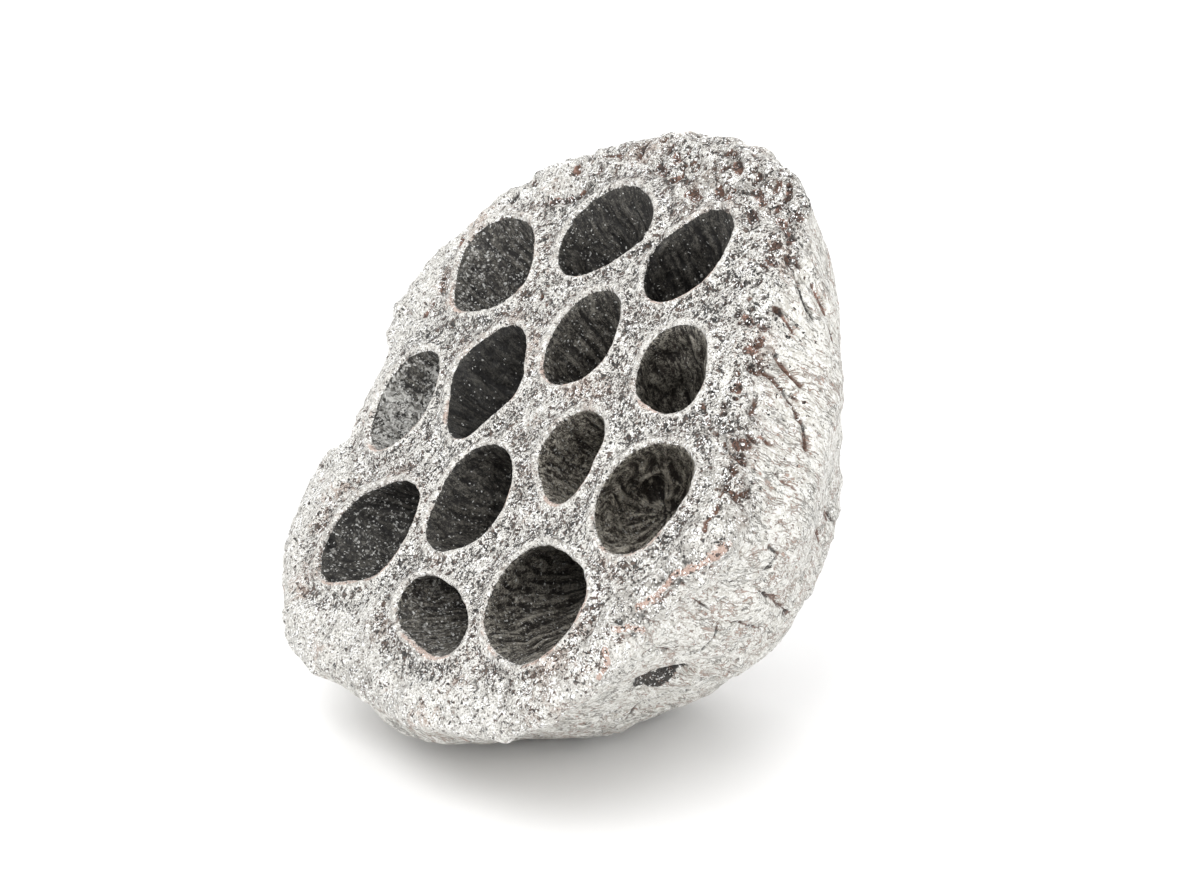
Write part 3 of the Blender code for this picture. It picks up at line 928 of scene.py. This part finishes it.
def plain_material(name, colour, roughness):
    t = Tree(name)
    t.fill(t.shader, {"Base Color": colour, "Roughness": roughness})
    return t.material


# Soft lamps: name, turn and rise in degrees, distance and size in metres, power in watts.
LIGHTS = (
    ("key_lamp", 35.0, 50.0, 0.9, 0.5, 4.0),
    ("side_lamp", 80.0, 30.0, 0.9, 0.6, 1.5),
    ("back_lamp", 235.0, 35.0, 0.9, 0.6, 3.0),
)


def aim_at(obj, aim, turn, rise, distance):
    """Puts obj at a turn counted like the viewer's round the pod, looking at aim."""
    a, e = math.radians(turn), math.radians(rise)
    away = Vector((math.sin(a) * math.cos(e), -math.cos(a) * math.cos(e), math.sin(e)))
    obj.location = aim + away * distance
    obj.rotation_euler = away.to_track_quat("Z", "Y").to_euler()


def studio(settings):
    """The floor, the soft lights and the camera."""
    scene = bpy.context.scene
    bm = bmesh.new()
    bmesh.ops.create_grid(bm, x_segments=1, y_segments=1, size=settings.floor_size)
    mesh = bpy.data.meshes.new("studio_floor")
    bm.to_mesh(mesh)
    bm.free()
    floor = new_object("studio_floor", mesh)
    mesh.materials.append(plain_material("pale_floor", (*settings.floor_colour, 1.0), 0.9))

    world = bpy.data.worlds.new("soft_white")
    world.use_nodes = True
    background = world.node_tree.nodes["Background"]
    background.inputs[0].default_value = (1.0, 1.0, 1.0, 1.0)
    background.inputs[1].default_value = settings.fill_light
    scene.world = world

    aim = Vector(settings.camera_aim)
    for name, turn, rise, distance, size, power in LIGHTS:
        lamp = bpy.data.lights.new(name, "AREA")
        lamp.shape = "DISK"
        lamp.size = size
        lamp.energy = power
        obj = new_object(name, lamp)
        aim_at(obj, aim, turn, rise, distance)

    camera = bpy.data.cameras.new("studio_camera")
    camera.lens = settings.lens
    camera.sensor_width = 36.0
    camera.clip_start = 0.01
    obj = new_object("studio_camera", camera)
    aim_at(obj, aim, settings.camera_turn, settings.camera_rise, settings.camera_distance)
    scene.camera = obj
    scene.view_settings.view_transform = "Standard"


class LotusPodSettings(bpy.types.PropertyGroup):
    skin_detail: FloatProperty(
        name="Skin detail", description="Size of the quads the relief is worked on",
        default=0.00026, unit="LENGTH")
    skin_triangles: IntProperty(
        name="Skin triangles", description="Triangles kept in the finished skin", default=198000)
    flake_colour: FloatVectorProperty(
        name="Flake colour", description="Colour of the face's lightest flakes",
        default=srgb(229, 227, 222), size=4, subtype="COLOR")
    wall_colour: FloatVectorProperty(
        name="Wall colour", description="Colour of the wall's coat where it is lightest",
        default=srgb(235, 234, 229), size=4, subtype="COLOR")
    tissue_colour: FloatVectorProperty(
        name="Tissue colour", description="Colour of the bare tissue in the cells where it is lightest",
        default=srgb(98, 95, 88), size=4, subtype="COLOR")
    rust_colour: FloatVectorProperty(
        name="Rust colour", description="Colour of the brown cracks and streaks",
        default=srgb(144, 102, 84), size=4, subtype="COLOR")
    floor_size: FloatProperty(
        name="Floor size", description="Half the floor's side", default=1.5, unit="LENGTH")
    floor_colour: FloatVectorProperty(
        name="Floor colour", description="Colour of the floor",
        default=(0.93, 0.93, 0.93), subtype="COLOR")
    fill_light: FloatProperty(
        name="Fill light", description="Strength of the white surroundings", default=0.90)
    lens: FloatProperty(
        name="Lens", description="Focal length in millimetres", default=100.0)
    camera_turn: FloatProperty(
        name="Camera turn", description="Degrees round the pod from its front", default=56.5)
    camera_rise: FloatProperty(
        name="Camera rise", description="Degrees above the floor", default=20.0)
    camera_distance: FloatProperty(
        name="Camera distance", description="From what it looks at", default=0.333, unit="LENGTH")
    camera_aim: FloatVectorProperty(
        name="Camera aim", description="What it looks at",
        default=(0.00948, -0.00375, 0.03469), subtype="XYZ")


class LOTUS_OT_pod_skin(bpy.types.Operator):
    """Build the pod's wrinkled, glitter-coated skin"""

    bl_idname = "lotus.pod_skin"
    bl_label = "Build Pod Skin"

    def execute(self, context):
        pod_skin(context.scene.lotus_pod)
        return {"FINISHED"}


class LOTUS_OT_studio(bpy.types.Operator):
    """Set up the floor, the soft lights and the camera"""

    bl_idname = "lotus.studio"
    bl_label = "Build Studio"

    def execute(self, context):
        studio(context.scene.lotus_pod)
        return {"FINISHED"}


class LOTUS_PT_panel(bpy.types.Panel):
    """Buttons that build the pod"""

    bl_label = "Dried Lotus Pod"
    bl_idname = "LOTUS_PT_panel"
    bl_space_type = "VIEW_3D"
    bl_region_type = "UI"
    bl_category = "Lotus Pod"

    def draw(self, context):
        for operator in OPERATORS:
            self.layout.operator(operator.bl_idname)


OPERATORS = (LOTUS_OT_studio, LOTUS_OT_pod_skin)
CLASSES = (LotusPodSettings, *OPERATORS, LOTUS_PT_panel)


def register():
    for cls in CLASSES:
        bpy.utils.register_class(cls)
    bpy.types.Scene.lotus_pod = PointerProperty(type=LotusPodSettings)


def unregister():
    del bpy.types.Scene.lotus_pod
    for cls in reversed(CLASSES):
        bpy.utils.unregister_class(cls)


def main():
    register()
    bpy.ops.lotus.studio()
    bpy.ops.lotus.pod_skin()


if __name__ == "__main__":
    main()
